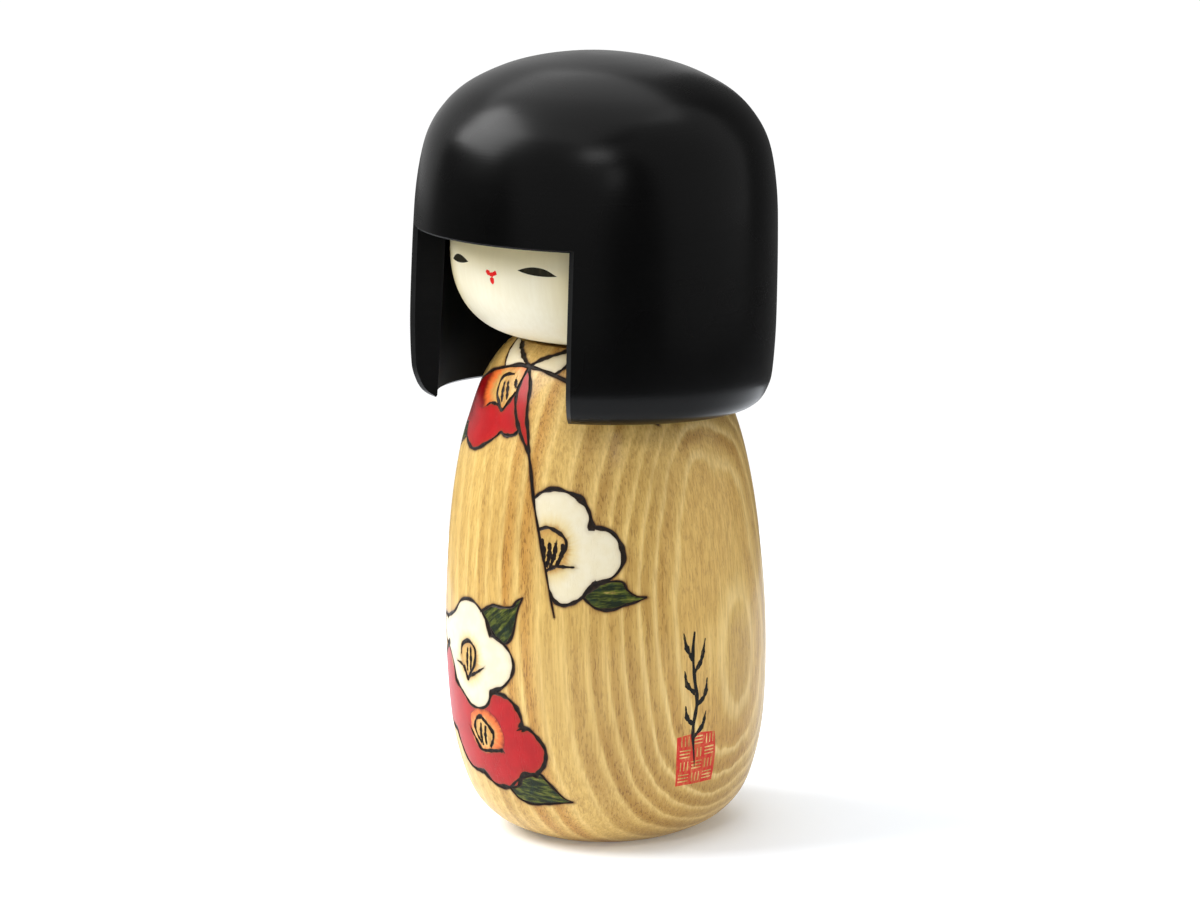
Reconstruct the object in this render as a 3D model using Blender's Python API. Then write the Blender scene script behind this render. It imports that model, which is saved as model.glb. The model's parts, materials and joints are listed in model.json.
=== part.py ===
"""A turned wooden kokeshi doll with a head that turns on its neck.

The doll is four turned pieces. The barrel-shaped body stands on a small flat foot. A dowel
comes up out of a blind bore in its shoulders, and carries a cream head and the hair cap that
is turned hollow to go over it. A wedge sawn out of the front of the cap shows the face.

Metres, +Z up. The origin is the centre of the foot, and the face looks along -Y. The neck bore
is drilled a little off square, so the head and its cap stand on their own axis: it leans back,
and it passes in front of the body's centre. Heights inside the head and the cap are measured
along that neck axis, up from the cap's rim.
"""
import math

import bmesh
import bpy

MM = 0.001
GAP = 0.3 * MM                   # between pieces that touch
RUNNING_CLEARANCE = 0.08 * MM    # round the dowel, where it turns in the body

# Neck axis
NECK_LEAN = math.radians(3.9)    # backwards, towards +Y
RIM_FORWARD = 3.3 * MM           # how far the axis is in front of the body's centre at the rim
RIM_HEIGHT = 103.2 * MM          # of the cap's rim above the ground

# Body: (radius, height) up the outside, from the edge of the foot
FOOT_RADIUS = 19.8 * MM
BODY_TOP = 126.0 * MM            # of the dome, before the neck seat is faced off
BODY_SIDE = [(26.3, 3.0), (31.4, 8.0), (34.5, 15.0), (36.7, 25.0), (37.7, 38.0), (37.8, 52.0),
             (37.0, 66.0), (35.5, 80.0), (33.3, 92.0), (30.9, 100.0), (27.9, 108.0),
             (24.1, 114.0), (19.5, 118.2), (11.0, 123.5)]

# Head: two flattened domes with a short straight band between them
HEAD_RADIUS = 33.9 * MM
CHIN = 14.5 * MM                 # underside of the head, above the rim
CHIN_RISE = 20.2 * MM            # from the underside to the widest place
HEAD_BAND = 3.3 * MM
CROWN_RISE = 20.0 * MM           # from the band to the top of the head
DOME_POWERS = (1.92, 4.3)        # squareness of the domes along and across the axis
UNDERSIDE_RADIUS = 14.0 * MM     # flat round the dowel, under the head
CROWN_RADIUS = 20.0 * MM         # flat that is glued to the cap

# Hair cap: (radius, height) down the outside from beside the crown to the rim
CAP_HEIGHT = 81.8 * MM
CAP_SIDE = [(10.5, 80.95), (21.1, 78.4), (30.8, 73.6), (36.7, 67.8), (40.2, 61.0), (42.0, 51.3),
            (42.6, 41.6), (42.85, 29.0), (42.85, 17.4), (42.3, 7.8), (41.5, 4.8), (40.6, 2.8),
            (39.2, 1.2)]
RIM_RADIUS = 36.9 * MM           # lowest ring of the cap
CAVITY_MOUTH = 36.2 * MM         # inside radius at the rim
CAVITY_RADIUS = 35.2 * MM        # inside radius from the bangs up
CAVITY_CORNER = 12.0 * MM        # rounding between the cavity's wall and its roof
BANGS = 40.3 * MM                # lower edge of the hair over the face
WINDOW_HALF_ANGLE = math.radians(37.5)

# Neck dowel
DOWEL_RADIUS = 6.0 * MM
DOWEL_CHAMFER = 0.8 * MM
DEPTH_IN_BODY = 24.0 * MM
DEPTH_IN_CAP = 10.0 * MM

# Smoothness
SEGMENTS = 64
DOWEL_SEGMENTS = 32
STEPS_PER_SPAN = 2

HEAD_TOP = CHIN + CHIN_RISE + HEAD_BAND + CROWN_RISE
CAVITY_ROOF = HEAD_TOP + GAP
SEAT_HEIGHT = CHIN - GAP         # of the body's faced-off neck seat, along the neck axis


def clear_scene():
    for thing in list(bpy.data.objects):
        bpy.data.objects.remove(thing, do_unlink=True)


def material(name, colour, roughness):
    result = bpy.data.materials.new(name)
    result.use_nodes = True
    shader = result.node_tree.nodes["Principled BSDF"]
    shader.inputs["Base Color"].default_value = (*colour, 1.0)
    shader.inputs["Roughness"].default_value = roughness
    shader.inputs["Metallic"].default_value = 0.0
    return result


def in_metres(points):
    return [(radius * MM, height * MM) for radius, height in points]


def smooth_curve(points, steps=STEPS_PER_SPAN):
    """Catmull-Rom curve through every point but the first and last, which only steer it."""
    curve = []
    for before, start, end, after in zip(points, points[1:], points[2:], points[3:]):
        for step in range(steps):
            t = step / steps
            weights = (-t + 2 * t**2 - t**3, 2 - 5 * t**2 + 3 * t**3,
                       t + 4 * t**2 - 3 * t**3, t**3 - t**2)
            corners = (before, start, end, after)
            curve.append(tuple(0.5 * sum(w * corner[axis] for w, corner in zip(weights, corners))
                               for axis in (0, 1)))
    curve.append(points[-2])
    return curve


def dome(radius, rise, flat_radius, count=9):
    """(radius, height) from the edge of a dome's flat, at the full rise, down to its equator."""
    along, across = DOME_POWERS
    end = (1 - (flat_radius / radius) ** across) ** (1 / along)
    outline = []
    for step in range(count + 1):
        t = end * math.sin(math.pi / 2 * (1 - step / count))
        height = rise if step == 0 else rise * t
        outline.append((radius * (1 - t**along) ** (1 / across), height))
    return outline


def turned(name, outline, segments, finish, parent=None):
    """Spin a closed (radius, height) outline about Z, into a solid of revolution."""
    mesh_builder = bmesh.new()
    verts = [mesh_builder.verts.new((radius, 0, height)) for radius, height in outline]
    edges = [mesh_builder.edges.new(pair) for pair in zip(verts, verts[1:])]
    if outline[0][0] > 0:
        edges.append(mesh_builder.edges.new((verts[-1], verts[0])))
    bmesh.ops.spin(mesh_builder, geom=verts + edges, cent=(0, 0, 0), axis=(0, 0, 1),
                   angle=2 * math.pi, steps=segments, use_merge=True, use_duplicate=False)
    bmesh.ops.remove_doubles(mesh_builder, verts=mesh_builder.verts, dist=1e-6)
    bmesh.ops.recalc_face_normals(mesh_builder, faces=mesh_builder.faces)
    return finished(name, mesh_builder, finish, parent)


def finished(name, mesh_builder, finish, parent):
    mesh = bpy.data.meshes.new(name)
    mesh_builder.to_mesh(mesh)
    mesh_builder.free()
    mesh.shade_smooth()
    mesh.set_sharp_from_angle(angle=math.radians(35))
    piece = bpy.data.objects.new(name, mesh)
    bpy.context.scene.collection.objects.link(piece)
    if finish:
        mesh.materials.append(finish)
    piece.parent = parent
    return piece


def cut(piece, cutter):
    cutter.hide_render = True
    cutter.display_type = "WIRE"
    boolean = piece.modifiers.new(f"cut_by_{cutter.name}", "BOOLEAN")
    boolean.operation = "DIFFERENCE"
    boolean.solver = "EXACT"
    boolean.object = cutter


def make_neck_axis():
    axis = bpy.data.objects.new("neck_axis", None)
    axis.location = (0, -RIM_FORWARD, RIM_HEIGHT)
    axis.rotation_euler = (-NECK_LEAN, 0, 0)
    bpy.context.scene.collection.objects.link(axis)
    return axis


def make_body(neck_axis):
    """The barrel, its dome faced off square to the neck axis and bored for the dowel."""
    foot_edge = (FOOT_RADIUS, 0)
    pole = (0, BODY_TOP)
    side = in_metres(BODY_SIDE)
    mirrored = (-side[-1][0], side[-1][1])
    below_foot = (FOOT_RADIUS - 4.5 * MM, -1.5 * MM)
    outline = [(0, 0)] + smooth_curve([below_foot, foot_edge, *side, pole, mirrored])
    wood = material("body_wood", (0.72, 0.45, 0.17), 0.45)
    body = turned("body", outline, SEGMENTS, wood)

    facing = [(0, SEAT_HEIGHT), (FOOT_RADIUS * 2, SEAT_HEIGHT),
              (FOOT_RADIUS * 2, SEAT_HEIGHT + 20 * MM), (0, SEAT_HEIGHT + 20 * MM)]
    cut(body, turned("seat_cutter", facing, SEGMENTS, None, neck_axis))
    bore_radius = DOWEL_RADIUS + RUNNING_CLEARANCE
    bore_bottom = SEAT_HEIGHT - DEPTH_IN_BODY - GAP
    bore_top = SEAT_HEIGHT + 5 * MM
    bore = [(0, bore_bottom), (bore_radius, bore_bottom), (bore_radius, bore_top), (0, bore_top)]
    cut(body, turned("bore_cutter", bore, DOWEL_SEGMENTS, None, neck_axis))


def make_head(neck_axis):
    """The painted head, drilled through for the dowel."""
    hole = DOWEL_RADIUS + GAP
    widest = CHIN + CHIN_RISE
    chin = dome(HEAD_RADIUS, CHIN_RISE, UNDERSIDE_RADIUS)
    crown = dome(HEAD_RADIUS, CROWN_RISE, CROWN_RADIUS)
    outline = [(hole, CHIN)]
    outline += [(radius, widest - drop) for radius, drop in chin]
    outline += [(radius, widest + HEAD_BAND + rise) for radius, rise in reversed(crown)]
    outline += [(hole, HEAD_TOP)]
    turned("head", outline, SEGMENTS, material("head_ivory", (0.83, 0.72, 0.51), 0.5), neck_axis)


def cavity_outline():
    """Up the inside of the cap: the wall from the rim, the rounded corner and the roof."""
    outline = [(CAVITY_MOUTH, 0.5 * MM), (CAVITY_RADIUS, BANGS - 5 * MM)]
    centre_radius = CAVITY_RADIUS - CAVITY_CORNER
    centre_height = CAVITY_ROOF - CAVITY_CORNER
    for step in range(5):
        angle = math.pi / 2 * step / 4
        outline.append((centre_radius + CAVITY_CORNER * math.cos(angle),
                        centre_height + CAVITY_CORNER * math.sin(angle)))
    return outline


def window_cutter(neck_axis):
    """A wedge with its edge on the neck axis, from under the rim up to the bangs."""
    reach = 60 * MM
    spread = reach * math.sin(WINDOW_HALF_ANGLE)
    front = -reach * math.cos(WINDOW_HALF_ANGLE)
    mesh_builder = bmesh.new()
    corners = [mesh_builder.verts.new((x, y, -10 * MM))
               for x, y in ((0, 0), (-spread, front), (spread, front))]
    floor = mesh_builder.faces.new(corners)
    raised = bmesh.ops.extrude_face_region(mesh_builder, geom=[floor])
    top = [part for part in raised["geom"] if isinstance(part, bmesh.types.BMVert)]
    bmesh.ops.translate(mesh_builder, verts=top, vec=(0, 0, BANGS + 10 * MM))
    bmesh.ops.recalc_face_normals(mesh_builder, faces=mesh_builder.faces)
    return finished("window_cutter", mesh_builder, None, neck_axis)


def make_hair_cap(neck_axis):
    """The hollow cap, socketed for the dowel's end and opened in front of the face."""
    pole = (0, CAP_HEIGHT)
    side = in_metres(CAP_SIDE)
    mirrored = (-side[0][0], side[0][1])
    rim = (RIM_RADIUS, 0)
    under_rim = (RIM_RADIUS - 2.5 * MM, 0)
    socket = DOWEL_RADIUS + GAP
    socket_top = CAVITY_ROOF + DEPTH_IN_CAP + GAP
    outline = smooth_curve([mirrored, pole, *side, rim, under_rim])
    outline += cavity_outline()
    outline += [(socket, CAVITY_ROOF), (socket, socket_top), (0, socket_top)]
    black = material("hair_black", (0.012, 0.011, 0.011), 0.35)
    cap = turned("hair_cap", outline, SEGMENTS, black, neck_axis)
    cut(cap, window_cutter(neck_axis))


def make_neck_dowel(neck_axis):
    """The dowel: free in the body's bore, glued in the head and in the cap's socket."""
    bottom = SEAT_HEIGHT - DEPTH_IN_BODY
    top = CAVITY_ROOF + DEPTH_IN_CAP
    slim = DOWEL_RADIUS - DOWEL_CHAMFER
    outline = [(0, bottom), (slim, bottom), (DOWEL_RADIUS, bottom + DOWEL_CHAMFER),
               (DOWEL_RADIUS, top - DOWEL_CHAMFER), (slim, top), (0, top)]
    birch = material("dowel_wood", (0.74, 0.56, 0.33), 0.6)
    turned("neck_dowel", outline, DOWEL_SEGMENTS, birch, neck_axis)


def main():
    clear_scene()
    neck_axis = make_neck_axis()
    make_body(neck_axis)
    make_neck_dowel(neck_axis)
    make_head(neck_axis)
    make_hair_cap(neck_axis)


main()
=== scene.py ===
"""The kokeshi doll's looks: painted and burnt wood, black hair, an ivory face.

The body and the head are turned surfaces that carry drawings. Each drawing is laid out on the
surface unrolled flat, as (degrees round from the front, millimetres along the surface from its
lower edge). The flat sheet is cut into triangles along every outline, so each paint has a crisp
edge, and each burnt line is a real groove. Then the sheet is wrapped back round the piece.
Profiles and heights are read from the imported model.
"""

import json
import math
from collections import Counter

import bmesh
import bpy
import numpy as np
from mathutils import Matrix, Vector
from mathutils.geometry import convex_hull_2d, delaunay_2d_cdt
from mathutils.kdtree import KDTree


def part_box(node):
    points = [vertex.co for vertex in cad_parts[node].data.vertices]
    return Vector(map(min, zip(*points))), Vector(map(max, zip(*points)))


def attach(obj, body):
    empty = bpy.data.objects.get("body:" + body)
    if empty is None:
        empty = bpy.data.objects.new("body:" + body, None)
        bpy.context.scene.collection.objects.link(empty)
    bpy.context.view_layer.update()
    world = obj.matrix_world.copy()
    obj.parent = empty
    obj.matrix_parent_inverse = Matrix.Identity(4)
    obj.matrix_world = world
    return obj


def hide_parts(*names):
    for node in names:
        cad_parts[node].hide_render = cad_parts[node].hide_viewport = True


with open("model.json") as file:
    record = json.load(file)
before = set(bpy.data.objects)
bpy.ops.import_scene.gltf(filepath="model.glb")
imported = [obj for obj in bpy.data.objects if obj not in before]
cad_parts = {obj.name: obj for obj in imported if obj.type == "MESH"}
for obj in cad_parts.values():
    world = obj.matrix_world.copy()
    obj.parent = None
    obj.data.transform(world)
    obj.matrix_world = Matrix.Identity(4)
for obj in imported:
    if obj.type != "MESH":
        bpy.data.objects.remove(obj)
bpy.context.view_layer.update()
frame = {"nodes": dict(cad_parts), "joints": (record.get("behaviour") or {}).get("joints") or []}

MM = 0.001
NECK = frame["joints"][0]

# The opening in the hair, as the part has it
WINDOW_HALF_ANGLE = 37.5     # degrees, from the middle of the face to each cut
BANGS = 40.3                 # lower edge of the fringe above the rim, mm
CAVITY_MOUTH = 36.2          # inside radius at the rim, mm
CAVITY_RADIUS = 35.2         # inside radius from the fringe up, mm
CAVITY_CORNER = 12.0         # rounding under the cavity's roof, mm
CHAMFER = 1.0                # along the window's upright outer edges, mm
FRINGE_CHAMFER = 0.45        # along the lower edge of the fringe, mm

# Sheets
SHEET_RADIUS = 37.8          # radius at which one unrolled millimetre is true, mm
LATTICE = 1.25               # spacing of the plain points, mm
LINE_STEP = 0.45             # spacing of the points along outlines, mm
GROOVE_DEPTH = 0.28          # of a burnt line one millimetre wide, mm

# Camera
CAMERA_AZIMUTH = 46.0
CAMERA_ELEVATION = 12.66
CAMERA_DISTANCE = 1.568
CAMERA_AIM = (-0.0005, 0.0902)   # sideways and up, metres
CAMERA_ROLL = -1.24
CAMERA_LENS = 199.8

BODY_FINISHES = ("wood", "white", "red", "leaf", "burnt", "seal", "ink")
HEAD_FINISHES = ("ivory", "eye", "lips")


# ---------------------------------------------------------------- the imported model

def neck_frame():
    """Moves points of the model into the neck's own frame: origin at the hair's rim, +Z up it."""
    up = Vector(NECK["axis"]).normalized()
    side = Vector((1, 0, 0))
    back = up.cross(side)
    world = Matrix((side, back, up)).transposed().to_4x4()
    world.translation = Vector(NECK["pos_m"])
    return world.inverted()


def local_points(node, to_local):
    """A node's points as (radius, height) in mm about the axis of to_local."""
    moved = [to_local @ vertex.co / MM for vertex in frame["nodes"][node].data.vertices]
    return [(round(math.hypot(p.x, p.y), 2), round(p.z, 2)) for p in moved]


def turned_rings(node, to_local, least=24):
    counts = Counter(local_points(node, to_local))
    rings = []
    for ring in sorted((r for r, count in counts.items() if count >= least), key=lambda r: r[1]):
        if not rings or math.dist(ring, rings[-1]) > 0.05:
            rings.append(ring)
    return rings


def outside_profile(rings):
    """The rings on the outside, from the lowest up. Each turned piece is convex outside."""
    both_sides = rings + [(-radius, height) for radius, height in rings]
    hull = {both_sides[index] for index in convex_hull_2d([Vector(p) for p in both_sides])}
    return [ring for ring in rings if ring in hull]


# ---------------------------------------------------------------- curves

def smooth(points, step):
    """A Catmull-Rom curve through the points, as an array with a point about every step."""
    points = np.array(points, float)
    padded = np.vstack([2 * points[0] - points[1], points, 2 * points[-1] - points[-2]])
    curve = []
    for before, start, end, after in zip(padded, padded[1:], padded[2:], padded[3:]):
        count = max(1, math.ceil(np.linalg.norm(end - start) / step))
        for t in np.arange(count) / count:
            curve.append(0.5 * (2 * start + (end - before) * t
                                + (2 * before - 5 * start + 4 * end - after) * t**2
                                + (3 * start - before - 3 * end + after) * t**3))
    curve.append(points[-1])
    return np.array(curve)


def inside_polygon(points, polygon):
    """For each point, True if it is inside the closed polygon."""
    inside = np.zeros(len(points), bool)
    for (x0, y0), (x1, y1) in zip(polygon, np.roll(polygon, -1, axis=0)):
        if y0 == y1:
            continue
        crosses = (y0 > points[:, 1]) != (y1 > points[:, 1])
        inside ^= crosses & (points[:, 0] < (x1 - x0) * (points[:, 1] - y0) / (y1 - y0) + x0)
    return inside


class Turning:
    """A turned outside surface, unrolled into a sheet and wrapped back."""

    def __init__(self, profile, to_world):
        dense = smooth(profile, 0.25)
        steps = np.hypot(*np.diff(dense, axis=0).T)
        self.radii, self.heights = dense.T
        self.along = np.concatenate([[0], np.cumsum(steps)])
        self.length = self.along[-1]
        self.to_world = to_world

    def radius(self, along):
        return np.interp(along, self.along, self.radii)

    def stretch(self, along):
        """True millimetres round the piece for one millimetre across the sheet."""
        return self.radius(along) / SHEET_RADIUS

    def at_height(self, height):
        return float(np.interp(height, self.heights, self.along))

    def wrap(self, sheet, sink=0.0):
        """Sheet points, pushed in by sink mm, as points in the model, in metres."""
        angle = sheet[:, 0] / SHEET_RADIUS
        radius = self.radius(sheet[:, 1])
        height = np.interp(sheet[:, 1], self.along, self.heights)
        ahead = np.clip(sheet[:, 1] + 0.3, 0, self.length)
        behind = np.clip(sheet[:, 1] - 0.3, 0, self.length)
        rise = (np.interp(ahead, self.along, self.heights)
                - np.interp(behind, self.along, self.heights))
        run = self.radius(ahead) - self.radius(behind)
        size = np.hypot(rise, run)
        radius = radius - sink * rise / size
        height = height + sink * run / size
        local = np.stack([radius * np.sin(angle), -radius * np.cos(angle), height], axis=1) * MM
        matrix = np.array(self.to_world)
        return local @ matrix[:3, :3].T + matrix[:3, 3]


def on_sheet(points):
    """(degrees, mm along) to sheet millimetres."""
    points = np.array(points, float)
    return np.stack([np.radians(points[:, 0]) * SHEET_RADIUS, points[:, 1]], axis=1)


# ---------------------------------------------------------------- drawings

class Stroke:
    """A line of uneven width along a smooth path: burnt in as a groove, or brushed on."""

    def __init__(self, points, widths, finish, depth=GROOVE_DEPTH, wobble=0.22):
        self.path = smooth(on_sheet(points), LINE_STEP)
        spread = np.linspace(0, 1, len(self.path))
        widths = np.interp(spread, np.linspace(0, 1, len(widths)), widths)
        phase = points[0][0] * 1.7 + points[0][1] * 0.9
        wave = np.sin(spread * 17 + phase) + 0.6 * np.sin(spread * 41 + 2 * phase)
        self.half = widths / 2 * (1 + wobble * wave)
        self.finish = finish
        self.depth = depth

    def edge(self, turning, share):
        """The path moved sideways by a share of the half width, left for a positive share."""
        scale = np.stack([turning.stretch(self.path[:, 1]), np.ones(len(self.path))], axis=1)
        heading = np.gradient(self.path, axis=0) * scale
        heading /= np.linalg.norm(heading, axis=1, keepdims=True)
        sideways = np.stack([-heading[:, 1], heading[:, 0]], axis=1)
        return self.path + sideways * (self.half * share)[:, None] / scale

    def halo(self, turning, gap):
        share = 1 + gap / np.maximum(self.half, 0.1)
        return np.vstack([self.edge(turning, share), self.edge(turning, -share)])

    def distance(self, turning, points):
        """How far each point is from the path, and the half width there."""
        scale = np.stack([turning.stretch(points[:, 1]), np.ones(len(points))], axis=1)[:, None]
        start, end = self.path[None, :-1], self.path[None, 1:]
        span = (end - start) * scale
        reach = (points[:, None] - start) * scale
        size = np.maximum((span**2).sum(axis=2), 1e-9)
        t = np.clip((span * reach).sum(axis=2) / size, 0, 1)
        gap = np.linalg.norm(reach - t[..., None] * span, axis=2)
        nearest = gap.argmin(axis=1)
        rows = np.arange(len(points))
        share = t[rows, nearest]
        half = self.half[nearest] * (1 - share) + self.half[nearest + 1] * share
        return gap[rows, nearest], half


class Fill:
    """A painted area inside a closed outline. A flower's heart is (centre, half width, half
    height), and a leaf's brush goes from its base to its tip."""

    def __init__(self, outline, finish, heart=None, brush=None):
        self.outline = outline
        self.finish = finish
        self.heart = heart
        self.brush = brush


class Drawing:
    def __init__(self, finishes):
        self.finishes = finishes
        self.fills = []
        self.strokes = []

    def line(self, points, widths, finish="burnt", **options):
        self.strokes.append(Stroke(points, widths, self.finishes.index(finish), **options))

    def area(self, runs, finish, **options):
        """A painted area. Its outline is a chain of runs, each smooth, with corners between."""
        outline = np.vstack([smooth(on_sheet(run), LINE_STEP)[:-1] for run in runs])
        self.fills.append(Fill(outline, self.finishes.index(finish), **options))

    def flower(self, petals, finish, widths, **options):
        """A blossom: each petal is a run of its outline, and is drawn round in a burnt line."""
        self.area(petals, finish, **options)
        for petal in petals:
            self.line(petal, widths)


def local_offset(turning, sheet, centre):
    """True millimetres from a centre on the sheet, across and along."""
    middle = on_sheet([centre])[0]
    offset = sheet - middle
    return np.stack([offset[:, 0] * turning.stretch(middle[1]), offset[:, 1]], axis=1)


# ---------------------------------------------------------------- sheets into meshes

def lattice(turning, top):
    """Evenly spread points over the sheet below its top edge, and the two matching sides."""
    rows = max(2, round(turning.length / LATTICE))
    inner, sides = [], []
    for row in range(1, rows):
        along = turning.length * row / rows
        count = max(24, round(math.tau * turning.radius(along) / LATTICE))
        for step in range(1, count):
            across = (step + 0.5 * (row % 2)) / count * 2 - 1
            if abs(across) < 1 - 0.5 / count:
                inner.append((across * math.pi * SHEET_RADIUS, along))
        sides.append(along)
    inner = np.array(inner)
    return inner[inner[:, 1] < top(inner[:, 0]) - 0.5 * LATTICE], sides


def rim_points(along, count=144):
    across = np.linspace(-math.pi * SHEET_RADIUS, math.pi * SHEET_RADIUS, count + 1)
    return np.stack([across, along(across)], axis=1)


def clear_of(points, fixed, gap):
    """The points that keep their distance from the fixed ones."""
    tree = KDTree(len(fixed))
    for index, (x, y) in enumerate(fixed):
        tree.insert((x, y, 0), index)
    tree.balance()
    return np.array([p for p in points if tree.find((p[0], p[1], 0))[2] > gap])


def cut_sheet(turning, drawing, top):
    """Triangulate the sheet along every outline. Returns its points and triangles."""
    chains = [rim_points(lambda across: across * 0), rim_points(top)]
    inner, sides = lattice(turning, top)
    for side in (-math.pi * SHEET_RADIUS, math.pi * SHEET_RADIUS):
        end = float(top(np.array([side]))[0])
        heights = [0.0] + [s for s in sides if s < end - 0.4 * LATTICE] + [end]
        chains.append(np.array([(side, s) for s in heights]))
    soft = [inner]
    for stroke in drawing.strokes:
        left, right = stroke.edge(turning, 1), stroke.edge(turning, -1)
        chains += [left, right, stroke.path]
        chains += [np.array([left[end], stroke.path[end], right[end]]) for end in (0, -1)]
        soft += [stroke.edge(turning, 0.55), stroke.edge(turning, -0.55)]
        soft += [stroke.halo(turning, 0.35), stroke.halo(turning, 0.8)]
    for fill in drawing.fills:
        chains.append(np.vstack([fill.outline, fill.outline[:1]]))
    fixed = np.vstack(chains)
    spacings = [0.45 * LATTICE] + [0.09, 0.09, 0.2, 0.3] * len(drawing.strokes)
    points = [fixed]
    for group, spacing in zip(soft, spacings):
        keep = clear_of(group, fixed, spacing)
        if len(keep):
            points.append(keep[keep[:, 1] < top(keep[:, 0]) - 0.1])
    edges, start = [], 0
    for chain in chains:
        edges += [(start + i, start + i + 1) for i in range(len(chain) - 1)]
        start += len(chain)
    vectors = [Vector(p) for p in np.vstack(points)]
    verts, _, faces, *_ = delaunay_2d_cdt(vectors, edges, [], 0, 1e-3, False)
    verts = np.array([tuple(v) for v in verts])
    faces = np.array([face for face in faces if len(face) == 3])
    middles = verts[faces].mean(axis=1)
    below_top = middles[:, 1] < top(middles[:, 0])
    return verts, faces[below_top]


def near(stroke, points, reach):
    low = stroke.path.min(axis=0) - reach
    high = stroke.path.max(axis=0) + reach
    return np.where(((points > low) & (points < high)).all(axis=1))[0]


def face_finishes(turning, drawing, middles):
    finish = np.zeros(len(middles), int)
    for fill in drawing.fills:
        finish[inside_polygon(middles, fill.outline)] = fill.finish
    for stroke in drawing.strokes:
        chosen = near(stroke, middles, 3)
        gap, half = stroke.distance(turning, middles[chosen])
        finish[chosen[gap < half]] = stroke.finish
    return finish


def groove_depths(turning, drawing, points):
    """How deep each point is burnt in, and how much it is browned by a line close to it."""
    depth = np.zeros(len(points))
    scorch = np.zeros(len(points))
    for stroke in drawing.strokes:
        if not stroke.depth:
            continue
        chosen = near(stroke, points, 4)
        gap, half = stroke.distance(turning, points[chosen])
        half = np.maximum(half, 0.02)
        groove = stroke.depth * np.sqrt(half * 2) * np.clip(1 - (gap / half) ** 2, 0, 1)
        depth[chosen] = np.maximum(depth[chosen], groove)
        browned = np.exp(-np.clip(gap - half, 0, None) / 0.42)
        scorch[chosen] = np.maximum(scorch[chosen], browned)
    return depth, scorch


def paint_values(turning, drawing, points):
    """Per point: how close it is to the heart of its flower, and its place along the brush."""
    heart = np.zeros(len(points))
    brush = np.zeros((len(points), 3))
    for index, fill in enumerate(drawing.fills):
        grown = fill.outline + 0.02 * np.sign(fill.outline - fill.outline.mean(axis=0))
        chosen = np.where(inside_polygon(points, grown))[0]
        heart[chosen] = 0
        if fill.heart:
            centre, half_width, half_height = fill.heart
            offset = local_offset(turning, points[chosen], centre)
            reach = np.hypot(offset[:, 0] / half_width, offset[:, 1] / half_height)
            heart[chosen] = np.clip(1 - reach / 3, 0, 1)
            angle = np.arctan2(offset[:, 1], offset[:, 0])
            brush[chosen] = np.stack([angle * 6, np.hypot(*offset.T),
                                      np.full(len(chosen), index)], axis=1)
        if fill.brush:
            base, tip = on_sheet(fill.brush)
            ahead = (tip - base) / np.linalg.norm(tip - base)
            offset = points[chosen] - base
            brush[chosen] = np.stack([offset @ np.array([-ahead[1], ahead[0]]), offset @ ahead,
                                      np.full(len(chosen), index)], axis=1)
    return heart, brush


def ring_angles(count=144):
    return np.linspace(-math.pi, math.pi, count + 1)


def turned_ring(radius, height, to_world, count=144):
    return [to_world @ (Vector((radius * math.sin(a), -radius * math.cos(a), height)) * MM)
            for a in ring_angles(count)]


def add_grid(builder, rows, finish=0):
    """Quads between rows of points. A row that shrinks to one point makes a fan."""
    made = [[builder.verts.new(point) for point in row] for row in rows]
    for lower, upper in zip(made, made[1:]):
        for a, b, c, d in zip(lower, lower[1:], upper[1:], upper):
            face = builder.faces.new((a, b, c, d))
            face.material_index = finish


def painted_piece(name, turning, drawing, materials, top, closing):
    """Wrap a drawn sheet round its piece, and close it with rings of plain surface."""
    sheet, faces = cut_sheet(turning, drawing, top)
    depth, scorch = groove_depths(turning, drawing, sheet)
    heart, brush = paint_values(turning, drawing, sheet)
    finishes = face_finishes(turning, drawing, sheet[faces].mean(axis=1))

    mesh = bpy.data.meshes.new(name)
    mesh.from_pydata(turning.wrap(sheet, depth).tolist(), [], faces.tolist())
    mesh.polygons.foreach_set("material_index", finishes)
    for label, values in (("scorch", scorch), ("heart", heart), ("groove", depth)):
        mesh.attributes.new(label, "FLOAT", "POINT").data.foreach_set("value", values)
    mesh.attributes.new("brush", "FLOAT_VECTOR", "POINT").data.foreach_set("vector",
                                                                          brush.ravel())
    builder = bmesh.new()
    builder.from_mesh(mesh)
    for rows in closing:
        add_grid(builder, rows)
    return finish_mesh(name, mesh, builder, materials)


def finish_mesh(name, mesh, builder, materials, sharp=35):
    bmesh.ops.remove_doubles(builder, verts=builder.verts, dist=2e-6)
    bmesh.ops.dissolve_degenerate(builder, edges=builder.edges, dist=1e-7)
    bmesh.ops.recalc_face_normals(builder, faces=builder.faces)
    builder.to_mesh(mesh)
    builder.free()
    for material in materials:
        mesh.materials.append(material)
    mesh.shade_smooth()
    mesh.set_sharp_from_angle(angle=math.radians(sharp))
    piece = bpy.data.objects.new(name, mesh)
    bpy.context.scene.collection.objects.link(piece)
    return piece


# ---------------------------------------------------------------- the hair

def hair_section():
    """The hair's outside from its rim up, split where the window's chamfer ends, and its inside."""
    outside = smooth(outside_profile(turned_rings("hair_cap", neck_frame())), 0.8)
    radii, heights = outside.T
    split = BANGS + FRINGE_CHAMFER
    edge = (float(np.interp(split, heights, radii)), split)
    lower = [tuple(p) for p in outside if p[1] < split - 0.3] + [edge]
    upper = [edge] + [tuple(p) for p in outside if p[1] > split + 0.3]
    return lower, upper


def arc_points(profile_point, angles, to_world):
    radius, height = profile_point
    return [to_world @ (Vector((radius * math.sin(a), -radius * math.cos(a), height)) * MM)
            for a in angles]


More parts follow.
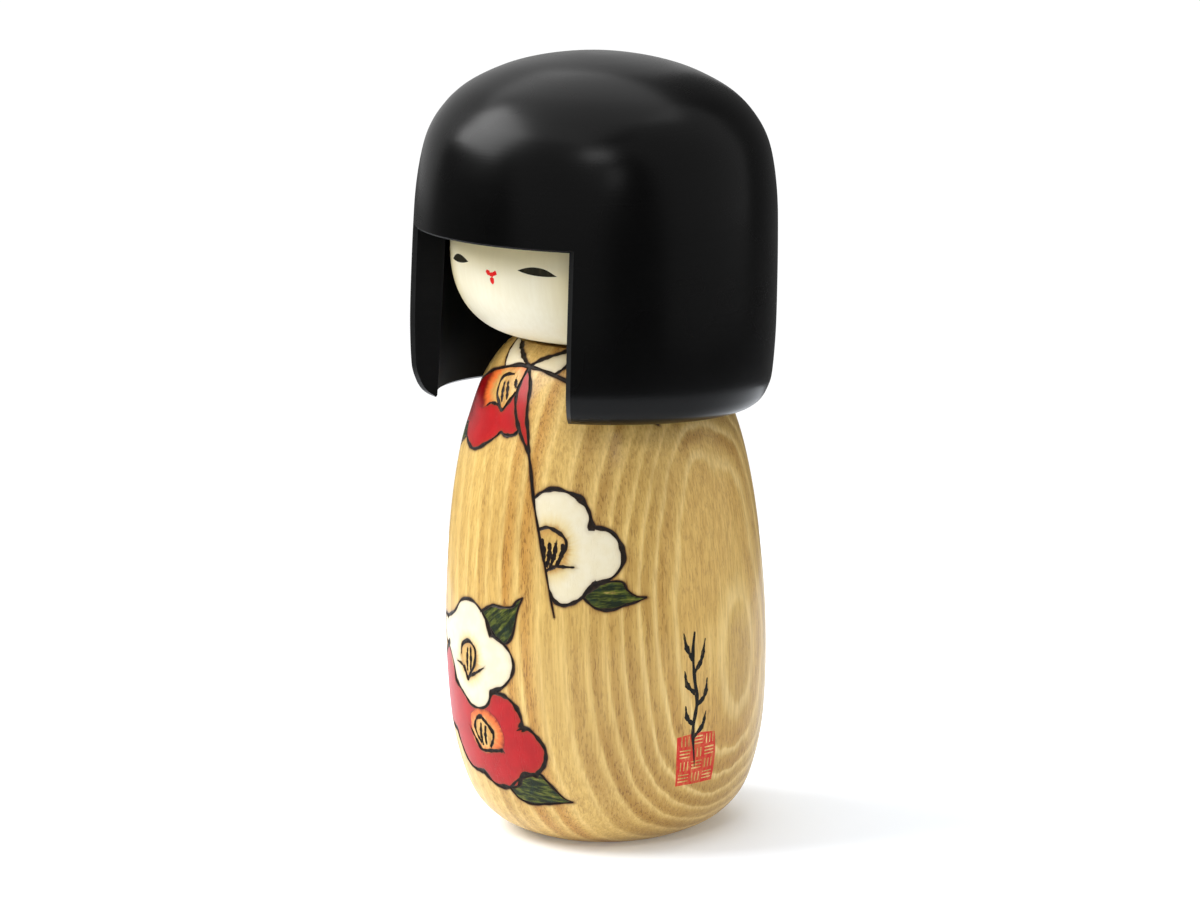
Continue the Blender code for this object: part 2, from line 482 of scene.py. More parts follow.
def make_hair(materials):
    to_world = neck_frame().inverted()
    lower, upper = hair_section()
    cut = math.radians(WINDOW_HALF_ANGLE)
    bevel = CHAMFER / CAVITY_MOUTH
    back = np.linspace(cut, math.tau - cut, 133)
    back_bevelled = np.linspace(cut + bevel, math.tau - cut - bevel, 133)
    front = np.linspace(-cut, cut, 37)
    front_bevelled = np.linspace(-cut - bevel, cut + bevel, 37)

    def inner_radius(height):
        return np.interp(height, (0, BANGS - 5), (CAVITY_MOUTH, CAVITY_RADIUS))

    def inner(point):
        radius, height = point
        height = max(0.5, height * BANGS / (BANGS + FRINGE_CHAMFER))
        return float(inner_radius(height)), height

    def cut_edge(point):
        radius, height = point
        wall = radius - inner(point)[0]
        return radius - min(CHAMFER, 0.55 * wall), height * BANGS / (BANGS + FRINGE_CHAMFER)

    mesh = bpy.data.meshes.new("bobbed_hair")
    builder = bmesh.new()
    add_grid(builder, [arc_points(p, back_bevelled, to_world) for p in lower])
    whole = np.concatenate([front_bevelled[:-1], back_bevelled[:-1],
                            [front_bevelled[0] + math.tau]])
    add_grid(builder, [arc_points(p, whole, to_world) for p in upper])
    add_grid(builder, [arc_points(inner(p), back, to_world) for p in lower], finish=1)
    for side in (cut, -cut):
        outward = math.copysign(bevel, side)
        chamfer = [arc_points(p, (side + outward,), to_world)
                   + arc_points(cut_edge(p), (side,), to_world) for p in lower]
        add_grid(builder, chamfer, finish=2)
        face = [arc_points(cut_edge(p), (side,), to_world)
                + arc_points(inner(p), (side,), to_world) for p in lower]
        add_grid(builder, face, finish=1)
    top = lower[-1]
    fringe = (top[0] - FRINGE_CHAMFER, BANGS)
    add_grid(builder, [arc_points(top, front_bevelled, to_world),
                       arc_points(fringe, front, to_world)], finish=1)
    add_grid(builder, [arc_points(p, front, to_world)
                       for p in (fringe, cut_edge(top), inner(top))], finish=1)
    for side in (cut, -cut):
        outward = math.copysign(bevel, side)
        corner = arc_points(top, (side + outward,), to_world)
        add_grid(builder, [corner * 2, [arc_points(p, (side,), to_world)[0]
                                        for p in (fringe, cut_edge(top))]], finish=2)
    rim = lower[0]
    add_grid(builder, [arc_points(rim, back_bevelled, to_world),
                       arc_points(inner(rim), back, to_world)])
    around = np.concatenate([front[:-1], back[:-1], [front[0] + math.tau]])
    cavity = [inner(top)] + cavity_profile()
    add_grid(builder, [arc_points(p, around, to_world) for p in cavity], finish=1)
    return finish_mesh("bobbed_hair", mesh, builder, materials, sharp=30)


def cavity_profile():
    """The inside of the hair above the fringe: its wall, rounded corner and roof."""
    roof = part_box("head")[1]
    height = (neck_frame() @ Vector((0, NECK["pos_m"][1], roof[2]))).z / MM
    middle = CAVITY_RADIUS - CAVITY_CORNER
    bend = [(middle + CAVITY_CORNER * math.cos(t),
             height - CAVITY_CORNER + CAVITY_CORNER * math.sin(t))
            for t in np.linspace(0, math.pi / 2, 7)]
    return bend + [(0.001, height)]


# ---------------------------------------------------------------- what is drawn

NECKLINE_LEFT = [(-70, 110), (-56, 113.5), (-42, 117), (-29, 120.5), (-17, 122.5), (-6, 124),
                 (2.5, 124)]
NECKLINE_RIGHT = [(2.5, 124), (13, 123.5), (27, 121.5), (42, 118), (60, 113.5), (72, 110)]
COLLAR_LEFT = [(-27, 131), (-11.5, 127.5), (2.5, 124)]
COLLAR_LEFT_INNER = [(-34, 130), (-25.5, 126), (-17.5, 122.5)]
COLLAR_RIGHT = [(2.5, 124), (9, 126.5), (23, 129.5), (32, 132)]
COLLAR_RIGHT_INNER = [(20, 122.5), (26, 125), (34, 129)]
STRIP_LEFT = [(2.5, 124), (1.5, 121), (1, 117.5), (2.5, 114), (5, 111), (9, 107.5), (14, 104)]
STRIP_RIGHT = [(2.5, 124), (8, 119.5), (9.5, 114.5), (10.5, 111.5), (12.5, 108), (14, 104)]
FRONT_EDGE = [(14, 104), (16, 100), (18.5, 92.5), (21, 86), (23.5, 79), (25.5, 72.5), (27.5, 66)]


def reverse(run):
    return run[::-1]


def draw_collar(drawing):
    drawing.area([[(-34, 130), (-25.5, 126), (-17.5, 122.5)], [(-17.5, 122.5), (-6, 124), (2.5, 124)],
                  reverse(COLLAR_LEFT), [(-27, 131), (-34, 130)]], "white")
    drawing.area([COLLAR_RIGHT, [(32, 132), (34, 129)], reverse(COLLAR_RIGHT_INNER),
                  [(20, 122.5), (13, 123.5), (2.5, 124)]], "white")
    drawing.area([STRIP_LEFT, reverse(STRIP_RIGHT)], "red")
    drawing.line(NECKLINE_LEFT, (0.3, 0.8, 1.0, 1.1))
    drawing.line(NECKLINE_RIGHT, (1.1, 0.9, 0.9, 0.3))
    drawing.line(COLLAR_LEFT, (1.2, 1.2, 1.0))
    drawing.line(COLLAR_LEFT_INNER, (0.6, 0.6, 0.5))
    drawing.line(COLLAR_RIGHT, (1.2, 1.1, 1.0))
    drawing.line(COLLAR_RIGHT_INNER, (0.7, 0.9, 0.9))
    drawing.line(STRIP_LEFT, (1.0, 0.9, 1.0, 0.9))
    drawing.line(STRIP_RIGHT, (1.0, 0.9, 0.9, 0.9))
    drawing.line(FRONT_EDGE, (0.9, 0.75, 0.7, 0.6, 0.35))


def draw_chest_flower(drawing):
    left = [(-42, 117), (-50, 115), (-53, 111.5), (-50, 108), (-44, 106), (-37, 106.5)]
    middle = [(-37, 106.5), (-33, 104), (-27, 102.5), (-19, 102), (-10, 104.5), (-5, 106.5)]
    right = [(-5, 106.5), (-3, 107.5), (0, 107), (5, 107.5), (7.5, 109)]
    up = [(7.5, 109), (5, 111), (2.5, 114), (1, 117.5), (1.5, 121), (2.5, 124)]
    across = [(2.5, 124), (-6, 124), (-17, 122.5), (-29, 120.5), (-42, 117)]
    drawing.area([left, middle, right, up, across], "red")
    shaded = [[(2.5, 124), (1.5, 121), (1, 117.5), (-3, 114.5), (-6, 112.5), (-9.5, 113.5)],
              [(-9.5, 113.5), (-15.5, 113.2), (-19, 112.4), (-27, 111.5), (-42, 113)],
              [(-42, 113), (-42, 117)], reverse(across)]
    drawing.area(shaded, "red", heart=((-7, 118), 7.2, 6.0))
    for petal in (left, middle, right):
        drawing.line(petal, (0.5, 0.9, 0.95, 0.6))
    drawing.line([(-6, 121.5), (-11.5, 121), (-14.5, 119.5), (-13, 116), (-9, 114), (-6, 112.5),
                  (-3, 114.5), (0, 117)], (0.7, 1.0, 0.8, 1.0, 0.8))
    drawing.line([(-10.5, 119), (-9, 116.5), (-7.5, 114.5)], (0.6, 1.1, 0.7))
    drawing.line([(-8, 119.5), (-6, 117.5), (-4.5, 115.5)], (0.6, 1.1, 0.7))
    drawing.line([(-3, 120.5), (-2, 119.5), (-1, 118.5)], (0.6, 1.1, 0.7))
    drawing.line([(-19, 112.5), (-15.5, 113.5), (-9.5, 113.5), (-6, 112.5)], (0.4, 0.8, 0.8))
    drawing.area([[(-36, 106), (-41, 105.5), (-46, 104), (-50, 100)],
                  [(-50, 100), (-43, 100.5), (-38, 102), (-33, 103.5), (-36, 106)]], "leaf",
                 brush=((-33, 105), (-50, 100)))
    drawing.line([(-37, 106.5), (-42, 105.5), (-46, 104), (-50, 100)], (0.5, 0.8, 0.5))
    drawing.line([(-50, 100), (-43, 100.5), (-38, 102), (-33, 103.5)], (0.5, 0.8, 0.5))


def draw_side_flower(drawing):
    upper = [(18.5, 93.5), (21.5, 95), (26.5, 96), (31.5, 95.5), (37, 94), (40.5, 91), (41.5, 87.5)]
    outer = [(41.5, 87.5), (48, 86.5), (51.5, 84), (53, 80.5), (52, 78), (48.5, 75.5), (42.5, 74)]
    lower = [(42.5, 74), (38.5, 71.5), (35.5, 70), (31, 69), (27.5, 70), (25.5, 72.5)]
    edge = [(25.5, 72.5), (23.5, 79), (21, 86), (18.5, 93.5)]
    drawing.area([upper, outer, lower, edge], "white", heart=((26, 82), 3.6, 4.4))
    drawing.line(upper, (0.6, 0.9, 1.2, 0.9, 0.8, 1.7, 0.9, 1.0, 1.7))
    drawing.line(outer, (1.7, 0.8, 0.9, 1.5, 1.0, 0.7, 0.7, 1.5))
    drawing.line(lower, (1.5, 0.8, 0.7, 1.1, 0.8, 0.7))
    drawing.line([(21.5, 86.5), (25, 87), (30, 85.5), (32, 83.5), (30.5, 81), (29, 78.5)],
                 (0.7, 1.0, 0.8, 0.9, 0.6))
    drawing.line([(24.5, 77), (28, 78), (32, 78), (35, 78)], (0.9, 0.8, 0.4))
    drawing.line([(22.5, 84), (23.3, 81.5), (23.3, 79)], (0.8, 1.2, 0.7))
    drawing.line([(25.5, 83.5), (25.5, 80.5), (24.5, 78)], (0.8, 1.3, 0.8))
    drawing.line([(28, 83.5), (27.5, 81), (26, 78)], (0.8, 1.2, 0.7))
    drawing.line([(30.5, 83), (30, 80.5), (27.8, 78)], (0.7, 1.1, 0.6))
    leaf_top = [(38, 71), (40.5, 73.5), (45.5, 74.5), (52, 74.5), (54, 72.5), (57, 71), (61, 70.5)]
    leaf_base = [(61, 70.5), (56.5, 69.5), (53, 69), (48, 68), (42.5, 68.5), (38, 71)]
    drawing.area([leaf_top, leaf_base], "leaf", brush=((37.5, 70.5), (61, 71)))
    drawing.line(leaf_top, (0.9, 0.7, 0.6, 0.5, 0.4))
    drawing.line(leaf_base, (0.4, 0.6, 0.8, 0.7, 0.5))


def draw_low_leaves(drawing):
    upper = [(-4.5, 65), (1, 67), (5.5, 67), (10.5, 67.5), (12.5, 69), (15, 70)]
    lower = [(15, 70), (13, 67), (12, 64), (10.5, 60.5), (7.5, 58.5), (3.5, 59.5), (-4.5, 65)]
    drawing.area([upper, lower], "leaf", brush=((-2, 61), (15, 70)))
    drawing.line(upper, (0.6, 0.8, 0.7, 0.6, 0.4))
    drawing.line(lower, (0.4, 0.6, 0.7, 0.6, 0.5))
    upper = [(4, 22.5), (10, 25.5), (18.5, 27.5), (21.5, 26), (25, 23.5), (28, 21.5), (31.5, 20.5)]
    lower = [(31.5, 20.5), (25.5, 20), (20, 19.5), (13.5, 19), (7.5, 20), (4, 22.5)]
    drawing.area([upper, lower], "leaf", brush=((4, 22.5), (31.5, 21)))
    drawing.line(upper, (0.7, 0.8, 0.8, 0.6, 0.4))
    drawing.line(lower, (0.4, 0.6, 0.9, 0.7, 0.6))


def draw_low_red_flower(drawing):
    petals = [
        [(0, 46), (5, 46), (9, 45), (12, 43), (13.5, 40.5), (13, 38.5)],
        [(13, 38.5), (16.5, 38.5), (20.5, 36), (22.5, 33.5), (21.5, 30), (17.5, 27)],
        [(17.5, 27), (12, 27), (8.5, 23.5), (2.5, 22.5), (-4, 22.5), (-10, 25)],
        [(-10, 25), (-17.5, 25), (-22.5, 26.5), (-26.5, 30), (-29, 33)],
        [(-29, 33), (-37, 34), (-43, 39), (-43, 45), (-39, 50), (-31, 54)],
        [(-31, 54), (-24, 47), (-12, 42), (0, 46)],
    ]
    drawing.area(petals, "red")
    drawing.area([[(-13.5, 39), (-9, 41), (-4, 41.5), (1, 40), (4.5, 36.5), (4.5, 33.5), (3, 32)],
                  [(3, 32), (-2, 31), (-7, 30.5), (-12.5, 33), (-13.5, 39)]], "red",
                 heart=((-6, 35.5), 5.2, 4.4))
    for petal in petals[:5]:
        drawing.line(petal, (1.5, 0.8, 1.1, 0.7, 1.3, 0.8, 1.5))
    drawing.line([(-14, 35.5), (-11, 33), (-8, 31), (-1.5, 31.5), (3, 32)],
                 (0.6, 1.1, 1.0, 0.8, 1.2))
    drawing.line([(-6.5, 39.5), (-9.5, 38.5), (-11, 36.5), (-10, 34.5), (-8, 33)],
                 (1.2, 0.7, 1.0, 0.7, 0.8))
    drawing.line([(-7, 39.5), (-3.5, 38), (-0.5, 36), (-1, 34), (-2.5, 32.5)],
                 (0.8, 0.9, 1.2, 0.8, 0.7))
    drawing.line([(-7, 37.5), (-7.5, 35), (-7, 32.5)], (0.7, 1.1, 0.6))
    drawing.line([(-4.5, 37), (-5, 34.5), (-4.8, 32.5)], (0.7, 1.1, 0.6))


def draw_low_white_flower(drawing):
    petals = [
        [(-33, 60), (-24, 62.5), (-18, 66), (-11.5, 67), (-6.5, 66), (-2, 63.5), (0.5, 60)],
        [(0.5, 60), (5, 59), (9, 57), (11, 54), (10, 51), (6, 48), (0, 46)],
        [(0, 46), (-2, 43), (-6, 41.5), (-12, 41.5), (-17, 43.5), (-24, 46)],
        [(-24, 46), (-26, 50), (-31, 53), (-36, 54), (-39, 57), (-38, 60), (-33, 60)],
    ]
    drawing.flower(petals, "white", (1.4, 0.7, 0.6, 0.9, 0.6, 0.9, 1.4), heart=((-12.5, 52.5), 3.2, 3.6))
    drawing.line([(-18, 53), (-17, 55.5), (-12.5, 57), (-9, 56), (-8, 54.5), (-9, 51.5), (-12, 49),
                  (-13.5, 47.5), (-15.5, 50.5)], (0.7, 1.0, 0.8, 0.9, 0.6))
    drawing.line([(-13, 55), (-13.5, 52.5), (-13.5, 50)], (0.7, 1.1, 0.6))
    drawing.line([(-11, 55.5), (-11, 52.5), (-11.5, 50)], (0.7, 1.1, 0.6))
    drawing.line([(-22, 51), (-17, 50.5), (-13.5, 48)], (0.4, 0.8, 0.8))
    drawing.line([(-13.5, 48), (-7.5, 50), (-3.5, 51.5)], (0.8, 0.8, 0.4))


def draw_weave(drawing, left, bottom, upright):
    """One cell of the stamp's basket weave: three narrow unpainted lines, upright or level."""
    for step in range(3):
        if upright:
            across = left + 0.7 + 1.5 * step
            line = [(across, bottom), (across, bottom + 2.3)]
        else:
            height = bottom + 0.35 + 0.85 * step
            line = [(left, height), (left + 4.4, height)]
        drawing.line(line, (0.26, 0.32, 0.24), finish="wood", depth=0)


def draw_maker_marks(drawing):
    """A plain woven-looking red stamp and a sprig of grass, where the photo has real ones."""
    drawing.area([[(71.5, 36), (80, 36.5), (88, 36)], [(88, 36), (89, 30), (89, 23.5)],
                  [(89, 23.5), (80, 23.5), (72, 23.5)], [(72, 23.5), (71.5, 30), (71.5, 36)]], "seal")
    for column, left in enumerate((72.8, 78.2, 83.6)):
        for row, bottom in enumerate((24.2, 27.3, 30.4, 33.5)):
            draw_weave(drawing, left, bottom, upright=(row + column) % 2)
    drawing.line([(79, 61), (78, 56), (78.5, 50), (79.5, 44), (78, 37), (79.5, 28)],
                 (0.4, 1.1, 0.8, 1.2, 0.7, 0.3), finish="ink", depth=0)
    blades = [((78.2, 54), (75.5, 57.5), (74.5, 61)), ((78.2, 51), (81.5, 54), (83.5, 59)),
              ((79, 46), (75.5, 48.5), (74.5, 52)), ((79.4, 43), (83, 45.5), (84, 49.5)),
              ((78.4, 38.5), (75.5, 40.5), (74.8, 43.5)), ((78.2, 35.5), (82, 38), (83.5, 41.5))]
    for blade in blades:
        drawing.line(blade, (0.9, 1.2, 0.25), finish="ink", depth=0)


def body_drawing():
    drawing = Drawing(BODY_FINISHES)
    draw_collar(drawing)
    draw_chest_flower(drawing)
    draw_side_flower(drawing)
    draw_low_leaves(drawing)
    draw_low_red_flower(drawing)
    draw_low_white_flower(drawing)
    draw_maker_marks(drawing)
    return drawing


def head_drawing(turning):
    """The face's heights are measured up the neck, from the hair's rim."""
    drawing = Drawing(HEAD_FINISHES)

    def at(points):
        return [(angle, turning.at_height(height)) for angle, height in points]

    for side in (-1, 1):
        lid = [(side * 14, 34.1), (side * 18, 34.9), (side * 22, 35.2), (side * 26.4, 34.8),
               (side * 31, 33.4)]
        under = [(side * 31, 33.4), (side * 26, 33.2), (side * 21, 33.3), (side * 17.3, 33.6),
                 (side * 14, 34.1)]
        drawing.area([at(lid), at(under)], "eye")
    drawing.line(at([(-2, 33), (-0.6, 32.5), (0.8, 32.2), (2.2, 32.5), (3.6, 32.9)]),
                 (0.8, 1.1, 0.9, 1.1, 0.8), finish="lips", depth=0)
    drawing.area([at([(-0.1, 31.3), (1, 31.7), (2.2, 31.4)]),
                  at([(2.2, 31.4), (2.1, 30.4), (1.3, 29.9)]),
                  at([(1.3, 29.9), (0.2, 30.4), (-0.1, 31.3)])], "lips")
    return drawing


# ---------------------------------------------------------------- materials

def srgb(red, green, blue):
    linear = [(c / 12.92 if c <= 0.04045 else ((c + 0.055) / 1.055) ** 2.4)
              for c in (red / 255, green / 255, blue / 255)]
    return (*linear, 1.0)


LIGHT_WOOD = srgb(227, 192, 113)
CREAM_WOOD = srgb(240, 212, 146)
DARK_WOOD = srgb(152, 108, 38)
AMBER_WOOD = srgb(182, 122, 44)
GREY_WOOD = srgb(190, 156, 86)
PORE = srgb(98, 58, 18)


class Shader:
    """Builds one procedural material."""

    def __init__(self, name, roughness, specular=0.5, coat=0.0, coat_roughness=0.1):
        self.material = bpy.data.materials.new(name)
        self.material.use_nodes = True
        self.tree = self.material.node_tree
        self.surface = self.tree.nodes["Principled BSDF"]
        self.surface.inputs["Roughness"].default_value = roughness
        self.surface.inputs["Specular IOR Level"].default_value = specular
        self.surface.inputs["Coat Weight"].default_value = coat
        self.surface.inputs["Coat Roughness"].default_value = coat_roughness
        coordinates = self.node("TexCoord").outputs["Object"]
        scaled = self.node("VectorMath", {0: coordinates, 3: 1 / MM}, operation="SCALE")
        self.position = scaled.outputs[0]      # in mm

    def node(self, kind, inputs=None, **settings):
        node = self.tree.nodes.new("ShaderNode" + kind)
        for name, value in settings.items():
            setattr(node, name, value)
        for key, value in (inputs or {}).items():
            if isinstance(value, bpy.types.NodeSocket):
                self.tree.links.new(value, node.inputs[key])
            else:
                node.inputs[key].default_value = value
        return node

    def math(self, operation, *values):
        return self.node("Math", dict(enumerate(values)), operation=operation).outputs[0]

    def dot(self, vector, direction):
        return self.node("VectorMath", {0: vector, 1: direction},
                         operation="DOT_PRODUCT").outputs["Value"]

    def mix(self, factor, first, second, blend="MIX"):
        node = self.node("Mix", {0: factor, 6: first, 7: second}, data_type="RGBA",
                         blend_type=blend)
        return node.outputs[2]

    def noise(self, per_mm, detail=2.0, roughness=0.5, vector=None):
        """Noise whose grain is so many cycles to the millimetre along x, y and z."""
        vector = vector or self.position
        scaled = self.node("VectorMath", {0: vector, 1: per_mm}, operation="MULTIPLY")
        return self.node("TexNoise", {"Vector": scaled.outputs[0], "Scale": 1.0,
                                      "Detail": detail, "Roughness": roughness}).outputs[0]

    def between(self, value, low, high, start=0.0, end=1.0):
        node = self.node("MapRange", {0: value, 1: low, 2: high, 3: start, 4: end},
                         interpolation_type="SMOOTHSTEP")
        return node.outputs[0]

    def ramp(self, value, stops):
        node = self.node("ValToRGB", {0: value})
        elements = node.color_ramp.elements
        while len(elements) < len(stops):
            elements.new(0.5)
        for element, (place, level) in zip(elements, stops):
            element.position = place
            element.color = (level, level, level, 1)
        return node.outputs[0]

    def attribute(self, name, output="Fac"):
        return self.node("Attribute", attribute_name=name).outputs[output]

    def bump(self, height, distance, strength=1.0):
        node = self.node("Bump", {"Height": height, "Distance": distance * MM,
                                  "Strength": strength})
        self.tree.links.new(node.outputs[0], self.surface.inputs["Normal"])

    def colour(self, colour):
        self.tree.links.new(colour, self.surface.inputs["Base Color"])
        return self.material

    def rough(self, value):
        self.tree.links.new(value, self.surface.inputs["Roughness"])


def wood_colour(shader):
    """Flat-sawn wood: the growth rings crop out as nested ovals on the doll's left side."""
    across = (0.985, 0.174, 0.055)
    beside = (-0.174, 0.985, 0.0)
    depth = shader.dot(shader.position, across)
    sideways = shader.dot(shader.position, beside)
    curve = shader.math("DIVIDE", shader.math("MULTIPLY", sideways, sideways), 240.0)
    slow = shader.noise((0.03, 0.03, 0.012), 1.0)
    fine = shader.noise((0.25, 0.25, 0.02), 2.0)
    warp = shader.math("MULTIPLY_ADD", slow, 8.0, -4.0)
    warp = shader.math("MULTIPLY_ADD", fine, 0.9, warp)
    ring_depth = shader.math("ADD", shader.math("ADD", depth, curve), warp)
    beyond = shader.math("MAXIMUM", shader.math("SUBTRACT", ring_depth, 25.0), 0.0)
    crowding = shader.math("MULTIPLY", shader.math("MULTIPLY", beyond, beyond), 0.015)
    phase = shader.math("MULTIPLY_ADD", ring_depth, 1 / 5.0, crowding)
    phase = shader.math("ADD", phase, 0.45)
    place = shader.math("FRACT", phase)
    index = shader.math("FLOOR", phase)
    random = shader.node("TexWhiteNoise", {"W": index}, noise_dimensions="1D").outputs[0]
    strength = shader.math("MULTIPLY_ADD", random, 0.7, 0.3)
    early = shader.ramp(place, [(0.0, 0.0), (0.16, 0.8), (0.32, 1.0), (0.6, 0.62), (0.85, 0.12),
                                (1.0, 0.0)])
    faded = shader.between(shader.noise((0.08, 0.08, 0.025), 2.0), 0.3, 0.6, 0.45, 1.0)
    band = shader.math("MULTIPLY", shader.math("MULTIPLY", early, strength), faded)
    fibre = shader.noise((1.6, 1.6, 0.06), 3.0, 0.6)
    pores = shader.noise((3.0, 3.0, 0.4), 2.0, 0.6)
    pore_mask = shader.math("MULTIPLY", shader.between(pores, 0.53, 0.64),
                            shader.math("MULTIPLY_ADD", band, 0.85, 0.12))
    patches = shader.noise((0.05, 0.05, 0.02), 2.0)
    colour = shader.mix(shader.between(patches, 0.45, 0.75, 0, 0.6), LIGHT_WOOD, GREY_WOOD)
    tint = shader.node("TexWhiteNoise", {"W": shader.math("ADD", index, 50.5)},
                       noise_dimensions="1D").outputs[0]
    tone = shader.mix(shader.between(tint, 0.3, 0.8), DARK_WOOD, AMBER_WOOD)
    between_rings = shader.ramp(place, [(0.0, 1.0), (0.08, 0.0), (0.72, 0.0), (0.93, 1.0)])
    pale = shader.math("MULTIPLY", shader.between(ring_depth, 28.0, 38.0, 0.22, 0.6), faded)
    colour = shader.mix(shader.math("MULTIPLY", between_rings, pale), colour, CREAM_WOOD)
    colour = shader.mix(shader.math("MULTIPLY", band, 0.85), colour, tone)
    colour = shader.mix(shader.between(fibre, 0.3, 0.7, 0.4, 0.0), colour, DARK_WOOD)
    colour = shader.mix(shader.math("MULTIPLY", pore_mask, 0.7), colour, PORE)
    relief = shader.math("MULTIPLY_ADD", pore_mask, -1.0, shader.math("MULTIPLY", fibre, 0.3))
    return colour, relief


def wood_material():
    shader = Shader("oiled_ash", 0.45, 0.25, coat=0.25, coat_roughness=0.14)
    colour, relief = wood_colour(shader)
    scorch = shader.math("POWER", shader.attribute("scorch"), 1.6)
    colour = shader.mix(shader.math("MULTIPLY", scorch, 0.9), colour, srgb(92, 50, 16))
    shader.bump(relief, 0.06)
    return shader.colour(colour)


def burnt_material():
    shader = Shader("burnt_line", 0.45, 0.15, coat=0.03)
    char = shader.noise((1.2, 1.2, 1.2), 3.0, 0.7)
    shallow = shader.between(shader.attribute("groove"), 0.0, 0.09, 1.0, 0.0)
    colour = shader.mix(shader.between(char, 0.35, 0.75), srgb(20, 15, 12), srgb(44, 29, 18))
    colour = shader.mix(shader.math("MULTIPLY", shallow, 0.6), colour, srgb(96, 58, 26))
    shader.bump(char, 0.15)
    return shader.colour(colour)


def petal_material(name, flat, uneven, shade, glow, cover, roughness):
    """Brushed paint that thins towards the flower's heart, where the wood shows through."""
    shader = Shader(name, roughness, 0.22, coat=0.06, coat_roughness=0.15)
    wood, relief = wood_colour(shader)
    brush = shader.attribute("brush", "Vector")
    streaks = shader.noise((1.2, 0.12, 1.0), 2.0, 0.6, vector=brush)
    blotch = shader.noise((0.35, 0.35, 0.35), 2.0)
    heart = shader.math("MULTIPLY_ADD", streaks, 0.2,
                        shader.math("SUBTRACT", shader.attribute("heart"), 0.1))
    paint = shader.mix(shader.between(blotch, 0.3, 0.7, 0, 0.5), flat, uneven)
    paint = shader.mix(shader.between(heart, 0.28, 0.55), paint, shade)
    paint = shader.mix(shader.between(heart, 0.5, 0.66), paint, glow)
    edge = shader.math("MULTIPLY", shader.attribute("scorch"), 0.4)
    paint = shader.mix(edge, paint, srgb(104, 64, 28))
    colour = shader.mix(shader.between(heart, 0.64, 0.8, 0, cover), paint, wood)
    shader.bump(shader.math("MULTIPLY_ADD", streaks, 0.6, relief), 0.05)
    return shader.colour(colour)


def leaf_material():
    shader = Shader("leaf_green", 0.45, 0.2, coat=0.04, coat_roughness=0.15)
    wood, relief = wood_colour(shader)
    brush = shader.attribute("brush", "Vector")
    streaks = shader.noise((1.1, 0.2, 1.0), 3.0, 0.65, vector=brush)
    patches = shader.noise((0.5, 0.5, 0.5), 2.0)
    paint = shader.mix(shader.between(streaks, 0.42, 0.64), srgb(22, 32, 10), srgb(86, 94, 28))
    paint = shader.mix(shader.between(patches, 0.5, 0.7, 0, 0.5), paint, srgb(14, 40, 34))
    colour = shader.mix(shader.between(streaks, 0.6, 0.76, 0, 0.5), paint, wood)
    shader.bump(shader.math("MULTIPLY_ADD", streaks, 0.6, relief), 0.05)
    return shader.colour(colour)


def stamp_material():
    shader = Shader("stamp_red", 0.5, 0.2, coat=0.05, coat_roughness=0.2)
    wood, relief = wood_colour(shader)
    worn = shader.noise((0.9, 0.9, 0.35), 3.0, 0.6)
    colour = shader.mix(shader.between(worn, 0.4, 0.75, 0.05, 0.45), srgb(198, 26, 30), wood)
    shader.bump(relief, 0.05)
    return shader.colour(colour)


def ink_material():
    shader = Shader("brush_ink", 0.5, 0.15, coat=0.03, coat_roughness=0.2)
    wood, relief = wood_colour(shader)
    dry = shader.noise((2.2, 2.2, 0.5), 3.0, 0.6)
    colour = shader.mix(shader.between(dry, 0.58, 0.8, 0.0, 0.35), srgb(20, 18, 15), wood)
    shader.bump(relief, 0.05)
    return shader.colour(colour)


def ivory_material():
    """Cream paint, with painted shade: a yellower tone under the fringe, at the sides and at the chin.
    """
    shader = Shader("ivory_paint", 0.45, 0.35, coat=0.1, coat_roughness=0.2)
    rim_height = NECK["pos_m"][2] / MM
    height = shader.dot(shader.position, (0, 0, 1))
    across = shader.math("ABSOLUTE", shader.dot(shader.position, (1, 0, 0)))
    # Painted shade: the cream turns yellower under the fringe, towards the chin and towards the sides.
    shade_under_fringe = shader.between(height, rim_height + 33, rim_height + 41, 0, 0.8)
    shade_under_chin = shader.between(height, rim_height + 14, rim_height + 22, 0.5, 0)
    shade_at_sides = shader.between(across, 10, 22, 0, 0.75)
    painted_shade = shader.math("MAXIMUM", shader.math("MAXIMUM", shade_under_fringe, shade_under_chin), shade_at_sides)
    grain = shader.noise((0.9, 0.9, 0.04), 3.0, 0.6)
    blotch = shader.noise((0.06, 0.06, 0.03), 2.0)
    colour = shader.mix(shader.between(blotch, 0.35, 0.7), srgb(244, 237, 211),
                        srgb(239, 229, 197))
    colour = shader.mix(painted_shade, colour, srgb(240, 222, 164))
    colour = shader.mix(shader.between(grain, 0.35, 0.65, 0.12, 0.0), colour, srgb(222, 206, 160))
    shader.bump(grain, 0.02)
    return shader.colour(colour)


def face_paint(name, dark, light):
    shader = Shader(name, 0.5, 0.15, coat=0.03)
    grain = shader.noise((1.5, 1.5, 0.3), 3.0)
    shader.bump(grain, 0.03)
    return shader.colour(shader.mix(shader.between(grain, 0.4, 0.75), dark, light))


def lacquer_material(name, level, roughness, specular):
    """Black paint over turned wood, with the faint marks of the brush and the lathe."""
    shader = Shader(name, roughness, specular)
    marks = shader.noise((0.05, 0.05, 2.4), 2.0, 0.6)
    cloud = shader.noise((0.04, 0.04, 0.04), 2.0)
    shader.rough(shader.between(cloud, 0.3, 0.7, roughness - 0.03, roughness + 0.03))
    shader.bump(marks, 0.02, 0.5)
    colour = shader.mix(shader.between(marks, 0.3, 0.7), (level, level, level, 1),
                        (level * 1.5, level * 1.5, level * 1.5, 1))
    return shader.colour(colour)


